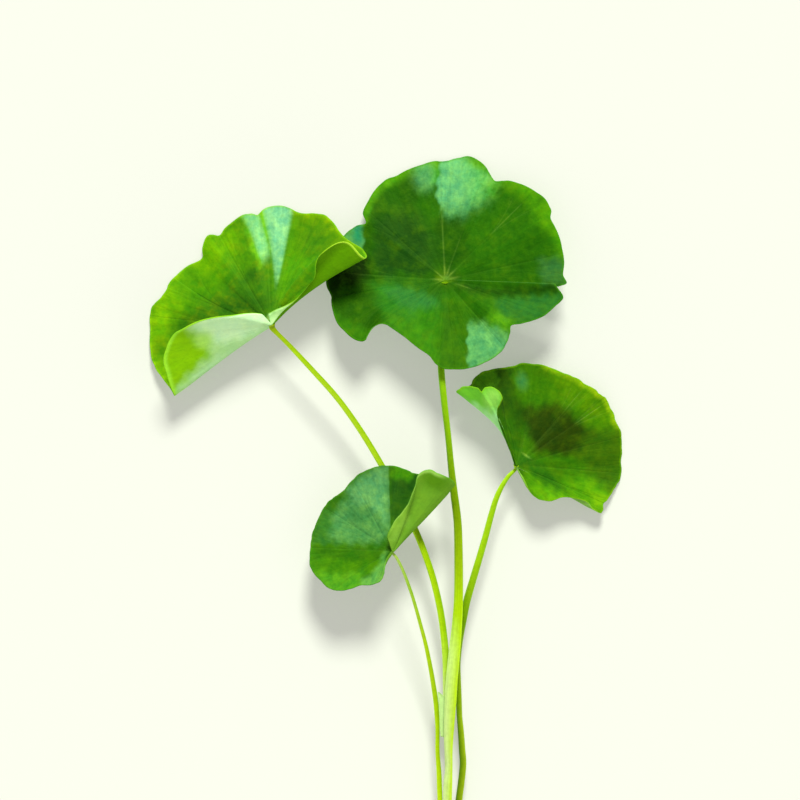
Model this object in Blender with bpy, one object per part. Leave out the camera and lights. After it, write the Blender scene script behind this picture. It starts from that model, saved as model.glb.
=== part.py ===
"""A gotu kola sprig as picked: four round leaves on thin petioles that grow from one small crown.

It lies on a flat surface. The drawing is made from above in millimetres: X runs to the right, Y runs along
the sprig from the crown to the leaves, and Z is the height over the surface. PLACE then moves the drawing's
zero to the middle of the sprig's box.
"""

import bmesh
import bpy
import numpy as np

MM = 0.001
PLACE = (2.85, 4.55, 0.0)

# Driving dimensions
BLADE_THICKNESS = 0.45
BLADE_ROWS = (0.16, 0.34, 0.52, 0.70, 0.86, 1.0)
STEM_POINTS = 24
STEM_BEVEL_STEPS = 2
CROWN_SIDES = 16
CROWN_LOBES = 4
CROWN_LOBE_DEPTH = 0.09
CROWN_X = 9.7

# Each blade is a fan of bowed rays from the point where its petiole joins it to its rim. The rim runs
# clockwise, from one edge of the sinus to the other, as (x, y, z). A bow is (share of the rim, x, y, z): how
# far the middle of the rays there stands off a straight line.
LEFT_JOINT = (-25.7, 35.1, 9.2)
LEFT_RIM = (
    # The left basal lobe, folded up over the blade
    (-27.6, 37.2, 10.8), (-30.0, 37.3, 12.5), (-33.2, 36.9, 14.3), (-36.8, 36.6, 15.4), (-40.0, 35.9, 15.8),
    (-42.8, 34.5, 15.4), (-45.1, 33.0, 14.6), (-46.4, 30.6, 13.4), (-47.1, 27.8, 11.8), (-46.4, 24.8, 9.8),
    (-45.6, 22.4, 7.8), (-45.1, 21.0, 6.4),
    # The outer rim, down on the surface
    (-45.6, 21.9, 5.0), (-47.0, 23.8, 3.6), (-48.6, 26.0, 2.5), (-49.6, 28.4, 1.7), (-50.0, 31.0, 1.2),
    (-50.0, 34.0, 1.0), (-50.0, 36.8, 0.9), (-49.4, 38.8, 0.9), (-48.0, 40.2, 0.9), (-46.8, 41.8, 1.0),
    (-46.2, 43.2, 1.0), (-44.8, 44.9, 0.9), (-42.4, 46.8, 0.8), (-39.6, 48.3, 1.0), (-39.5, 50.4, 0.9),
    (-38.6, 52.7, 0.7), (-37.4, 53.0, 0.7), (-36.0, 53.0, 0.8), (-34.8, 54.6, 0.6), (-32.0, 56.7, 0.5),
    (-30.0, 57.2, 0.5), (-28.4, 57.0, 0.7), (-27.0, 58.3, 0.5), (-24.2, 58.9, 0.5), (-22.0, 58.3, 0.6),
    (-19.8, 57.3, 1.0), (-17.6, 57.3, 1.5), (-15.0, 56.9, 2.6), (-13.2, 55.2, 4.4), (-11.3, 52.6, 7.0),
    (-9.6, 51.5, 9.2), (-7.6, 50.2, 11.4),
    # The right basal lobe, curled up
    (-6.7, 48.7, 13.2), (-7.2, 48.2, 14.2), (-8.5, 49.5, 15.4), (-10.2, 51.3, 16.2), (-12.2, 51.5, 16.6),
    (-14.3, 50.5, 16.8), (-16.0, 48.8, 16.6), (-16.7, 46.9, 16.0), (-16.9, 44.6, 14.8), (-18.3, 42.7, 13.6),
    (-20.4, 40.5, 12.4), (-22.6, 39.1, 11.6), (-24.7, 38.1, 10.9), (-26.2, 37.2, 10.3),
)
LEFT_BOWS = (
    (0.00, 0.0, 0.0, 0.0), (0.10, 0.3, 0.0, -0.4), (0.20, 0.0, 0.3, -0.6), (0.35, 0.0, 0.0, -1.0),
    (0.65, 0.0, 0.0, -1.0), (0.75, -0.9, 0.7, -0.6), (0.88, -0.9, 0.7, -0.4), (1.00, 0.0, 0.0, 0.0),
)

CENTRE_JOINT = (9.0, 44.0, 5.2)
CENTRE_RIM = (
    # The lower right basal lobe, from the sinus
    (31.5, 42.1, 9.8), (32.5, 40.4, 10.2), (30.8, 38.7, 10.6), (29.0, 37.1, 11.0), (26.6, 36.0, 11.2),
    (24.4, 35.3, 11.3), (22.2, 34.8, 11.1),
    # The near lobe, raised over the petiole
    (21.9, 33.2, 11.5), (21.2, 31.4, 11.8), (20.1, 29.7, 12.0), (18.2, 28.3, 12.1), (16.0, 27.1, 12.1),
    (13.0, 26.2, 12.0), (9.0, 26.2, 11.8), (7.2, 27.2, 11.6), (5.8, 28.9, 11.3), (3.2, 30.8, 11.0),
    (0.8, 32.7, 10.7), (-1.8, 34.5, 10.2), (-3.6, 35.2, 9.8),
    # The left lobes, down to those that lie under the left leaf
    (-5.4, 34.4, 9.9), (-6.5, 33.0, 10.0), (-7.3, 31.8, 10.0), (-8.9, 32.1, 9.5), (-10.8, 33.5, 8.7),
    (-12.4, 35.3, 7.7), (-13.4, 37.8, 6.5), (-13.7, 40.0, 5.5), (-13.7, 40.8, 5.1), (-14.5, 42.5, 4.5),
    (-14.7, 44.6, 3.9), (-14.2, 46.8, 3.4), (-13.2, 49.6, 3.0), (-11.8, 52.0, 2.7), (-10.2, 53.8, 2.6),
    (-8.6, 54.8, 2.6), (-6.8, 55.4, 2.9),
    # The far lobe, down on the surface
    (-7.4, 57.4, 2.4), (-6.5, 59.4, 1.9), (-5.0, 62.0, 1.3), (-2.8, 64.0, 0.9), (-1.0, 64.7, 0.9),
    (1.0, 65.7, 0.7), (4.0, 66.9, 0.6), (6.8, 67.7, 0.5), (8.8, 67.7, 0.6), (11.0, 68.2, 0.5),
    (13.4, 68.7, 0.5), (15.4, 68.1, 0.7), (17.2, 66.5, 1.3), (18.9, 63.8, 2.5),
    # The right lobes, up to the sinus
    (21.4, 63.8, 2.8), (24.0, 63.2, 3.4), (26.8, 61.8, 4.2), (28.8, 60.2, 4.9), (30.1, 58.0, 5.5),
    (30.1, 56.1, 6.1), (31.2, 54.0, 6.5), (32.2, 50.8, 7.1), (32.6, 47.6, 7.7), (32.5, 45.0, 8.1),
    (33.2, 43.3, 8.4), (31.6, 42.6, 8.5),
)
CENTRE_BOWS = ((0.0, 0.0, 0.0, -0.6), (0.25, 0.0, 0.0, -0.6), (0.6, 0.0, 0.0, 0.3), (1.0, 0.0, 0.0, -0.5))

RIGHT_JOINT = (23.2, 7.0, 7.0)
RIGHT_RIM = (
    # The left basal lobe, folded over the blade
    (22.9, 8.8, 7.8), (22.2, 11.4, 8.9), (21.2, 13.4, 10.0), (20.3, 14.8, 11.2), (19.5, 16.4, 12.4),
    (19.3, 18.0, 13.2), (19.8, 19.3, 13.7), (20.3, 20.5, 13.9), (19.7, 21.9, 13.8), (18.3, 22.7, 13.4),
    (17.0, 22.5, 12.9), (16.2, 21.6, 12.5), (15.4, 22.3, 12.2), (14.0, 22.7, 11.4), (12.6, 22.7, 10.4),
    (11.7, 22.1, 9.4), (11.4, 21.7, 8.6),
    # The far rim
    (12.6, 22.2, 7.6), (14.1, 23.0, 6.7), (14.6, 24.0, 6.1), (16.0, 25.3, 5.5), (18.0, 26.0, 5.0),
    (21.0, 26.5, 4.4), (22.8, 26.8, 4.1), (24.2, 27.3, 3.8), (26.2, 27.2, 3.6), (28.2, 27.0, 3.4),
    (30.2, 26.4, 3.2), (32.6, 25.4, 3.0), (34.2, 24.8, 2.9), (35.8, 24.0, 2.8), (37.2, 23.0, 2.7),
    (38.9, 22.2, 2.5), (39.8, 21.2, 2.4), (41.2, 20.2, 2.1), (42.0, 18.5, 1.8), (42.7, 17.2, 1.5),
    (43.2, 15.4, 1.2), (44.1, 13.8, 0.9), (44.3, 11.4, 0.6), (44.3, 9.0, 0.5), (44.1, 7.9, 0.5),
    (44.3, 6.3, 0.5), (44.0, 4.3, 0.7), (43.1, 2.8, 1.1), (42.3, 1.4, 1.6), (41.4, 0.0, 2.2),
    # The pointed lobe and the near rim, back to the sinus
    (40.7, -0.6, 2.6), (40.5, -2.0, 3.1), (40.0, -2.5, 3.4), (38.5, -1.7, 4.0), (37.4, -0.4, 4.6),
    (35.0, 0.4, 5.6), (32.4, 0.6, 6.4), (30.2, -0.1, 7.0), (27.8, 0.3, 7.4), (26.1, 1.6, 7.5),
    (24.9, 3.6, 7.3), (23.9, 5.6, 7.1),
)
RIGHT_BOWS = (
    (0.00, 0.0, 0.0, 0.0), (0.12, 1.2, 0.6, 0.0), (0.30, 1.4, 1.0, -0.8), (0.45, 0.4, 0.3, -1.2),
    (0.60, 0.0, 0.0, -1.4), (0.85, 0.0, 0.0, -1.0), (1.00, 0.0, 0.0, 0.0),
)

SMALL_JOINT = (-1.7, -10.1, 13.0)
SMALL_RIM = (
    # The near rim, from the sinus
    (-2.4, -10.8, 13.2), (-2.8, -12.4, 13.4), (-3.2, -14.8, 13.3), (-4.3, -16.3, 13.1), (-5.9, -16.8, 12.7),
    (-8.0, -16.9, 12.3), (-10.2, -17.7, 11.9), (-12.2, -18.0, 11.4), (-14.2, -17.5, 10.8),
    (-15.8, -16.0, 10.1), (-17.1, -14.5, 9.5), (-17.9, -13.1, 8.9), (-18.0, -11.2, 8.3),
    # The left and far rim
    (-17.8, -9.0, 7.8), (-17.4, -6.6, 7.6), (-16.6, -4.4, 7.6), (-15.7, -2.4, 7.8), (-14.4, -0.5, 8.0),
    (-12.8, 0.8, 8.3), (-11.3, 1.9, 8.6), (-10.0, 3.4, 8.9), (-8.4, 5.0, 9.2), (-6.6, 6.0, 9.5),
    (-4.6, 6.7, 9.8), (-2.8, 6.9, 10.0), (-0.6, 6.7, 10.3), (1.4, 6.0, 10.6), (3.2, 5.2, 10.9),
    (5.6, 5.3, 11.4), (8.0, 4.4, 12.0), (10.0, 3.4, 12.8),
    # The right basal lobe, folded over the blade
    (10.9, 3.1, 13.8), (10.4, 4.1, 14.8), (9.2, 4.8, 15.6), (7.4, 5.5, 16.2), (5.8, 6.1, 16.6),
    (4.3, 5.6, 17.0), (3.3, 4.7, 17.2), (2.9, 3.2, 17.4), (2.3, 1.4, 17.3), (1.7, -0.6, 17.0),
    (0.4, -2.4, 16.6), (-1.0, -3.9, 16.0), (-2.1, -5.8, 15.2), (-2.6, -7.2, 14.6), (-2.1, -8.8, 13.8),
)
SMALL_BOWS = ((0.0, 0.0, 0.0, 0.0), (0.2, 0.0, 0.0, -1.0), (0.55, 0.0, 0.0, -1.4), (0.8, 0.3, -0.3, -0.5),
              (1.0, 0.0, 0.0, 0.0))

# Each petiole's route from its blade to the crown, as (x, y, z, radius)
LEFT_ROUTE = (
    (-25.4, 34.3, 8.2, 0.44), (-24.3, 33.1, 8.1, 0.42), (-21.7, 30.5, 8.2, 0.46), (-17.5, 26.0, 8.3, 0.52),
    (-12.5, 20.4, 8.3, 0.56), (-8.1, 14.3, 8.0, 0.58), (-4.0, 7.6, 7.5, 0.60), (-0.4, 1.0, 7.1, 0.62),
    (2.8, -5.4, 6.8, 0.65), (4.8, -10.2, 6.6, 0.65), (6.6, -15.6, 6.4, 0.65), (8.0, -21.6, 5.9, 0.66),
    (8.8, -27.2, 5.2, 0.68), (9.2, -32.4, 4.3, 0.70), (9.3, -38.0, 3.6, 0.70), (9.4, -44.0, 3.1, 0.68),
    (9.6, -52.0, 2.6, 0.66), (9.7, -60.0, 2.4, 0.66), (9.8, -66.0, 2.3, 0.68), (9.8, -68.6, 2.3, 0.70),
)
CENTRE_ROUTE = (
    (9.0, 43.2, 4.1, 0.50), (8.9, 41.0, 3.9, 0.62), (8.7, 37.6, 4.5, 0.66), (8.4, 33.0, 6.1, 0.68),
    (8.2, 27.0, 8.0, 0.67), (8.8, 20.0, 8.8, 0.65), (9.6, 13.0, 9.1, 0.62), (10.2, 6.8, 9.1, 0.65),
    (10.8, 1.4, 9.0, 0.75), (11.5, -4.4, 8.8, 0.80), (11.7, -11.0, 8.5, 0.85), (11.7, -19.0, 8.1, 0.90),
    (11.5, -25.0, 7.7, 0.98), (11.0, -30.2, 7.3, 1.05), (10.5, -35.6, 6.9, 1.10), (10.1, -40.4, 6.5, 1.05),
    (9.8, -45.6, 6.0, 0.90), (9.7, -49.6, 5.6, 0.78), (9.8, -53.0, 5.3, 0.71), (9.6, -56.4, 5.0, 0.80),
    (9.5, -60.0, 4.7, 0.83), (9.6, -66.0, 4.4, 0.84), (9.6, -68.6, 4.4, 0.84),
)
RIGHT_ROUTE = (
    (23.0, 6.1, 5.9, 0.26), (21.6, 4.7, 6.1, 0.40), (20.2, 2.5, 6.4, 0.50), (19.1, 0.0, 6.5, 0.55),
    (18.1, -3.4, 6.5, 0.60), (17.1, -7.2, 6.4, 0.63), (15.9, -11.4, 6.2, 0.67), (14.6, -15.8, 6.0, 0.71),
    (13.5, -20.0, 5.8, 0.74), (12.9, -24.0, 5.4, 0.74), (12.3, -28.0, 4.9, 0.70), (12.0, -32.4, 4.4, 0.66),
    (12.0, -37.0, 4.2, 0.62), (11.9, -40.6, 4.1, 0.56), (11.9, -43.2, 4.0, 0.56), (12.2, -46.6, 3.9, 0.62),
    (12.4, -49.6, 3.8, 0.65), (12.6, -52.8, 3.7, 0.67), (12.2, -56.8, 3.6, 0.67), (11.8, -60.0, 3.5, 0.67),
    (11.4, -66.0, 3.4, 0.68), (11.4, -68.6, 3.4, 0.68),
)
SMALL_ROUTE = (
    (-1.4, -10.6, 12.1, 0.24), (-0.6, -11.6, 12.0, 0.28), (0.6, -14.0, 11.7, 0.30), (1.9, -17.4, 11.1, 0.32),
    (2.9, -20.5, 10.5, 0.33), (4.1, -24.8, 9.6, 0.36), (5.1, -28.6, 8.7, 0.39), (6.0, -32.9, 7.7, 0.43),
    (6.7, -37.0, 6.8, 0.48), (7.2, -40.6, 6.1, 0.50), (7.5, -45.6, 5.4, 0.44), (7.5, -50.0, 4.9, 0.43),
    (7.8, -54.4, 4.5, 0.50), (7.9, -57.4, 4.2, 0.52), (8.0, -60.4, 3.9, 0.50), (8.1, -66.0, 3.3, 0.50),
    (8.1, -68.6, 3.3, 0.50),
)

# The crown's rings from the petioles to its cut end, as (y, half width, half height, height of the middle)
CROWN_RINGS = (
    (-69.0, 2.6, 2.1, 3.3), (-70.6, 2.9, 2.6, 3.1), (-72.8, 3.1, 2.8, 3.05), (-75.0, 2.7, 2.6, 2.7),
    (-76.8, 2.1, 2.1, 2.2), (-77.8, 1.7, 1.7, 1.9),
)

# The colour of each piece's upper side, its roughness and its metallic value
LEAF_LOOK = ((0.10, 0.30, 0.02, 1.0), 0.42, 0.0)
STEM_LOOK = ((0.42, 0.62, 0.03, 1.0), 0.45, 0.0)
CROWN_LOOK = ((0.50, 0.52, 0.16, 1.0), 0.60, 0.0)


def clear_scene():
    """Removes every object that the file starts with."""
    for old in list(bpy.data.objects):
        bpy.data.objects.remove(old, do_unlink=True)


def plain_material(name, look):
    """A Principled material with one colour, roughness and metallic value."""
    colour, roughness, metallic = look
    material = bpy.data.materials.new(name)
    material.use_nodes = True
    surface = material.node_tree.nodes["Principled BSDF"]
    surface.inputs["Base Color"].default_value = colour
    surface.inputs["Roughness"].default_value = roughness
    surface.inputs["Metallic"].default_value = metallic
    material.diffuse_color = colour
    return material


def to_world(point):
    """A drawing point in millimetres as a point of the finished sprig in metres."""
    return tuple((value + shift) * MM for value, shift in zip(point, PLACE))


def add_object(name, data, look):
    """Puts a mesh or a curve in the scene under its own name with its own material."""
    piece = bpy.data.objects.new(name, data)
    data.materials.append(plain_material(name, look))
    bpy.context.scene.collection.objects.link(piece)
    return piece


def add_leaf(name, joint, rim, bows):
    """A blade: rows of points on bowed rays from the joint to the rim, thickened on its underside."""
    joint = np.array(joint)
    rays = np.array(rim) - joint
    share = np.linspace(0.0, 1.0, len(rim))
    stops = np.array(bows)
    bow = np.column_stack([np.interp(share, stops[:, 0], stops[:, axis]) for axis in (1, 2, 3)])
    blade = bmesh.new()
    middle = blade.verts.new(to_world(joint))
    inner = None
    for reach in BLADE_ROWS:
        row = joint + rays * reach + bow * 4.0 * reach * (1.0 - reach)
        outer = [blade.verts.new(to_world(point)) for point in row]
        for here, there in zip(range(len(rim) - 1), range(1, len(rim))):
            if inner is None:
                blade.faces.new((middle, outer[there], outer[here]))
            else:
                blade.faces.new((inner[here], inner[there], outer[there], outer[here]))
        inner = outer
    mesh = bpy.data.meshes.new(name)
    blade.to_mesh(mesh)
    blade.free()
    leaf = add_object(name, mesh, LEAF_LOOK)
    wall = leaf.modifiers.new("thickness", "SOLIDIFY")
    wall.thickness = BLADE_THICKNESS * MM
    wall.offset = -1.0
    mesh.shade_smooth()
    return leaf


def smooth_route(route, count):
    """Evenly spaced points on a Catmull-Rom curve through the route's own points."""
    route = np.array(route)
    padded = np.vstack([2 * route[0] - route[1], route, 2 * route[-1] - route[-2]])
    place = np.linspace(0.0, len(route) - 1.0, count)
    leg = np.minimum(place.astype(int), len(route) - 2)
    t = (place - leg)[:, None]
    before, start, end, after = (padded[leg + step] for step in range(4))
    return 0.5 * (
        2 * start
        + (end - before) * t
        + (2 * before - 5 * start + 4 * end - after) * t**2
        + (3 * start - before - 3 * end + after) * t**3
    )


def add_stem(name, route):
    """A petiole: a round curve that tapers along its route, closed at both ends."""
    points = smooth_route(route, STEM_POINTS)
    curve = bpy.data.curves.new(name, "CURVE")
    curve.dimensions = "3D"
    curve.bevel_depth = MM
    curve.bevel_resolution = STEM_BEVEL_STEPS
    curve.use_fill_caps = True
    spline = curve.splines.new("POLY")
    spline.points.add(len(points) - 1)
    for knot, point in zip(spline.points, points):
        knot.co = (*to_world(point[:3]), 1.0)
        knot.radius = point[3]
    return add_object(name, curve, STEM_LOOK)


def add_crown(name, rings):
    """The crown: oval rings along Y, swollen below each petiole, bridged, with a flat face at each end."""
    crown = bmesh.new()
    turns = np.linspace(0.0, 2.0 * np.pi, CROWN_SIDES, endpoint=False)
    swelling = 1.0 + CROWN_LOBE_DEPTH * np.cos(CROWN_LOBES * turns)
    loops = []
    for y, half_width, half_height, height in rings:
        across = CROWN_X + half_width * swelling * np.cos(turns)
        upward = height + half_height * swelling * np.sin(turns)
        loops.append([crown.verts.new(to_world((x, y, z))) for x, z in zip(across, upward)])
    for near, far in zip(loops, loops[1:]):
        for side in range(CROWN_SIDES):
            following = (side + 1) % CROWN_SIDES
            crown.faces.new((near[side], near[following], far[following], far[side]))
    crown.faces.new(loops[0])
    crown.faces.new(loops[-1])
    bmesh.ops.recalc_face_normals(crown, faces=crown.faces)
    mesh = bpy.data.meshes.new(name)
    crown.to_mesh(mesh)
    crown.free()
    mesh.shade_smooth()
    return add_object(name, mesh, CROWN_LOOK)


clear_scene()
add_leaf("leaf_left", LEFT_JOINT, LEFT_RIM, LEFT_BOWS)
add_leaf("leaf_centre", CENTRE_JOINT, CENTRE_RIM, CENTRE_BOWS)
add_leaf("leaf_right", RIGHT_JOINT, RIGHT_RIM, RIGHT_BOWS)
add_leaf("leaf_small", SMALL_JOINT, SMALL_RIM, SMALL_BOWS)
add_stem("stem_left", LEFT_ROUTE)
add_stem("stem_centre", CENTRE_ROUTE)
add_stem("stem_right", RIGHT_ROUTE)
add_stem("stem_small", SMALL_ROUTE)
add_crown("crown", CROWN_RINGS)
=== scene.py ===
"""A picked gotu kola sprig lying on a pale surface, seen from straight above.

The sprig is drawn in millimetres: X to the right, Y along the sprig from the crown to the leaves, and Z up
from the surface. PLACE moves the drawing's zero to the middle of the sprig's box.
"""

import bpy
import numpy as np
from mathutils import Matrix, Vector


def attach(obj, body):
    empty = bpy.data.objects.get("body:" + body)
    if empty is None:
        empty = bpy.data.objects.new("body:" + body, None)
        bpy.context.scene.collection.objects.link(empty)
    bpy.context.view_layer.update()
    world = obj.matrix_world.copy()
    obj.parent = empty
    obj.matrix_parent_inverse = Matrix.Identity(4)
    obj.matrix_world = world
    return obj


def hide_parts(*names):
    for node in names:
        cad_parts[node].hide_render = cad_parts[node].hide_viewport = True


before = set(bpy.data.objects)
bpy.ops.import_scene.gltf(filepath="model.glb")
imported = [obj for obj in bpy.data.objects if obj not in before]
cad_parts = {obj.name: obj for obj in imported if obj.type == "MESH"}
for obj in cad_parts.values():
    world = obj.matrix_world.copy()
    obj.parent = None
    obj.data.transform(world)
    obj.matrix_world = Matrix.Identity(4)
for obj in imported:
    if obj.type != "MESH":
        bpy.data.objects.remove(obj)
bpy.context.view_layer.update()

# The left leaf's blade: a living gotu kola leaf, round and thin, yellow-green and waxy above, pale and matt
# beneath. Its left basal lobe is folded up over the blade, so that the underside shows, and the right one
# is curled up. Its veins fan out from the point where the petiole joins it.
MM = 0.001
PLACE = np.array((2.85, 4.55, 0))
BLADE_ROWS = 84
BLADE_COLUMNS = 480
FIRST_REACH = 0.012
ROW_SHIFT = 0.6
BLADE_THICKNESS = 0.34
RIM_THICKNESS = 0.20
EDGE_ROUND = 0.42
PANEL_BULGE = 0.10
SCALLOP = 0.12
VEIN_GROOVE = 0.05
VEIN_RIDGE = 0.14
FORK_REACH = 0.42
FORK_SWAY = 0.10
FORK_STEP = 2.3
TWIG_AFTER = 0.24
BRANCH_SPREAD = 0.26
TWIG_SPREAD = 0.13
# Main veins, branches and twigs: the width in millimetres, its change to the rim and the strength.
VEIN_RELIEF = ((0.34, -0.22, 1), (0.16, 0, 0.7), (0.12, 0, 0.5))
VEIN_COLOUR = ((0.24, -0.16, 1), (0.11, 0, 0.4), (0.08, 0, 0.2))
LEAF_ROUGHNESS = 0.42
LEAF_SHEEN = (0.5, 1, 0.1, 1)
DARK_VEIN = "265808"
COOL_HUE = (0.78, 0.97, 1.1, 1)
WARM_HUE = (1.22, 1.03, 0.8, 1)
# A rim is a row of points. Each bow is a share of the rim, the near bow's x, y, z and, where it differs,
# the far bow's. The veins are the numbers of the rim points that they run to.
LEFT_JOINT = (-25.7, 35.1, 9.2)
LEFT_RIM = (
    (-27.6, 37.2, 10.8), (-30, 37.3, 12.5), (-33.2, 36.9, 14.3), (-36.8, 36.6, 15.4), (-40, 35.9, 15.8),
    (-42.8, 34.5, 15.4), (-45.1, 33, 14.6), (-46.4, 30.6, 13.4), (-47.1, 27.8, 11.8), (-46.4, 24.8, 9.8),
    (-45.6, 22.4, 7.8), (-45.1, 21, 6.4), (-45.6, 21.9, 5), (-47, 23.8, 3.6), (-48.6, 26, 2.5),
    (-49.6, 28.4, 1.7), (-50, 31, 1.2), (-50, 34, 1), (-50, 36.8, 0.9), (-49.4, 38.8, 0.9),
    (-48, 40.2, 0.9), (-46.8, 41.8, 1), (-46.2, 43.2, 1), (-44.8, 44.9, 0.9), (-42.4, 46.8, 0.8),
    (-39.6, 48.3, 1), (-39.5, 50.4, 0.9), (-38.6, 52.7, 0.7), (-37.4, 53, 0.7), (-36, 53, 0.8),
    (-34.8, 54.6, 0.6), (-32, 56.7, 0.5), (-30, 57.2, 0.5), (-28.4, 57, 0.7), (-27, 58.3, 0.5),
    (-24.2, 58.9, 0.5), (-22, 58.3, 0.6), (-19.8, 57.3, 1), (-17.6, 57.3, 1.5), (-15, 56.9, 2.6),
    (-13.2, 55.2, 4.4), (-11.3, 52.6, 7), (-9.6, 51.5, 9.2), (-7.6, 50.2, 11.4), (-6.7, 48.7, 13.2),
    (-7.2, 48.2, 14.2), (-8.5, 49.5, 15.4), (-10.2, 51.3, 16.2), (-12.2, 51.5, 16.6), (-14.3, 50.5, 16.8),
    (-16, 48.8, 16.6), (-16.7, 46.9, 16), (-16.9, 44.6, 14.8), (-18.3, 42.7, 13.6), (-20.4, 40.5, 12.4),
    (-22.6, 39.1, 11.6), (-24.7, 38.1, 10.9), (-26.2, 37.2, 10.3),
)
LEFT_BOWS = (
    (0, 0, 0, 0), (0.1, 0.3, 0, -0.4), (0.2, 0, 0.3, -0.6), (0.35, 0, -0.6, -1), (0.4, 0, -1.4, -1),
    (0.48, 0, -0.4, -1), (0.65, 0, 0, -1), (0.75, -0.9, 0.7, -0.6), (0.88, -0.9, 0.7, -0.4), (1, 0, 0, 0),
)
LEFT_VEINS = (2.5, 7.5, 13.5, 18, 22.8, 29, 34.1, 38.5, 43, 49, 54)


def through(points, count):
    """Evenly spaced points on the Catmull-Rom curve through the given ones, a cubic in each leg."""
    points = np.array(points, dtype=float)
    padded = np.vstack([2 * points[0] - points[1], points, 2 * points[-1] - points[-2]])
    place = np.linspace(0, len(points) - 1, count)
    leg = np.minimum(place.astype(int), len(points) - 2)
    t = (place - leg)[:, None]
    before, start, end, after = (padded[leg + step] for step in range(4))
    return 0.5 * (
        2 * start
        + (end - before) * t
        + (2 * before - 5 * start + 4 * end - after) * t**2
        + (3 * start - before - 3 * end + after) * t**3
    )


def ease(value):
    """0 below 0, 1 above 1, and 3 v squared less 2 v cubed between them."""
    value = np.clip(value, 0, 1)
    return value * value * (3 - 2 * value)


def unit(vectors):
    """The vectors divided by their lengths."""
    return vectors / np.maximum(np.linalg.norm(vectors, axis=-1, keepdims=True), 1e-12)


def veins(turn, reach, pitch):
    """1 on the middle of a main vein and less to each side, as the bell curve of distance over width.

    turn counts the main veins, each at a half. A main vein forks near FORK_REACH, and each branch forks
    again TWIG_AFTER further out. pitch is the distance between main veins in millimetres.
    """
    number = np.floor(turn)
    off = np.abs(turn - number - 0.5)
    fork = FORK_REACH + FORK_SWAY * np.sin(FORK_STEP * number)
    past = reach - fork
    spread = BRANCH_SPREAD * np.maximum(past, 0) / (1 - fork)
    second = TWIG_SPREAD * np.maximum(past - TWIG_AFTER, 0) / (1 - TWIG_AFTER - fork)
    beside = np.abs(off - spread)
    beyond = np.abs(beside - second)
    result = np.zeros(reach.shape)
    lines = zip((off, beside, beyond), (-1, 0, TWIG_AFTER), VEIN_RELIEF)
    for distance, begins, (width, change, strength) in lines:
        bell = strength * np.exp(-((distance * pitch / (width + change * reach)) ** 2))
        result = np.maximum(result, bell * (past > begins))
    return result


def vein_share(lobes, share):
    """1 on the open blade and 0.15 on its lobes, which are given as shares of the rim."""
    result = np.ones(share.shape)
    for low, high in lobes:
        result *= 1 - 0.85 * ease((share - low) / 0.02) * ease((high - share) / 0.02)
    return result


def blade(joint, rim, bows, main_veins, lobes, waves):
    """A blade as bowed rays from the joint to the rim.

    point = joint + (rim - joint) reach + near bow 4 reach (1 - reach)^2 + far bow 4 reach^2 (1 - reach).
    The rim is scalloped between the veins, the panels between them bulge upwards, and the veins are sunk
    above and raised beneath, but hardly so on the lobes, which are shares of the rim. waves gives the slow
    waves' height, count and phase.
    """
    share = np.linspace(0, 1, BLADE_COLUMNS)
    even = np.linspace(0, 1, BLADE_ROWS)
    reach = FIRST_REACH + (1 - FIRST_REACH) * (even - ROW_SHIFT * np.sin(2 * np.pi * even) / (2 * np.pi))
    centre = np.array(joint)
    stops = np.array(bows)
    near, far = (
        np.column_stack([np.interp(share, stops[:, 0], column) for column in columns])
        for columns in (stops[:, 1:4].T, stops[:, -3:].T)
    )
    rays = through(rim, BLADE_COLUMNS) - centre
    marks = np.array(main_veins) / (len(rim) - 1)
    marks = np.concatenate([[2 * marks[0] - marks[1]], marks, [2 * marks[-1] - marks[-2]]])
    turn = np.interp(share, marks, np.arange(len(marks)) - 0.5)
    scallop = np.abs(np.sin(4 * np.pi * turn + 0.8 * np.sin(5 * turn)))
    scallop *= 0.7 + 0.3 * np.sin(7.3 * turn)
    v, u = np.meshgrid(reach, share, indexing="ij")
    out = v[..., None]
    points = centre + rays * out + 4 * out * (1 - out) * (near * (1 - out) + far * out)
    points += unit(rays) * (SCALLOP * (scallop - 0.6))[None, :, None] * ease((out - 0.8) / 0.2)
    across = np.gradient(points, axis=1)
    normal = unit(np.cross(across, np.gradient(points, axis=0)))
    pitch = np.linalg.norm(across, axis=-1) / np.maximum(np.gradient(turn), 1e-6)
    turn = np.broadcast_to(turn, v.shape)
    fade = ease((v - 0.05) / 0.3)
    height, count, phase = waves
    lift = PANEL_BULGE * fade * 0.5 * (1 - np.cos(2 * np.pi * (turn - 0.5)))
    lift += height * ease((v - 0.3) / 0.7) * np.sin(2 * np.pi * count * u + phase)
    points += normal * lift[..., None]
    thickness = BLADE_THICKNESS + (RIM_THICKNESS - BLADE_THICKNESS) * ease((v - 0.85) / 0.15)
    vein = veins(turn, v, pitch) * vein_share(lobes, u)
    upper = points - normal * (VEIN_GROOVE * fade * vein)[..., None]
    under = points - normal * (thickness + VEIN_RIDGE * (1 - 0.7 * v) * vein)[..., None]
    return {
        "joint": centre, "upper": upper, "under": under, "share": u, "reach": v, "turn": turn,
        "pitch": pitch, "bloom": np.zeros(v.shape), "pale": 0.03 * vein_share(lobes, u),
    }


def new_object(name, data):
    """An object in the scene with the given mesh, light or camera."""
    result = bpy.data.objects.new(name, data)
    bpy.context.scene.collection.objects.link(result)
    return result


def placed_mesh(name, points, faces, values):
    """A smooth mesh object from points of the drawing, with named values for its points."""
    mesh = bpy.data.meshes.new(name)
    mesh.from_pydata(((points + PLACE) * MM).tolist(), [], faces)
    mesh.shade_smooth()
    for label, data in values.items():
        layer = mesh.attributes.new(label, "FLOAT", "POINT")
        layer.data.foreach_set("value", data.astype(np.float32).ravel())
    return new_object(name, mesh)


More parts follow.
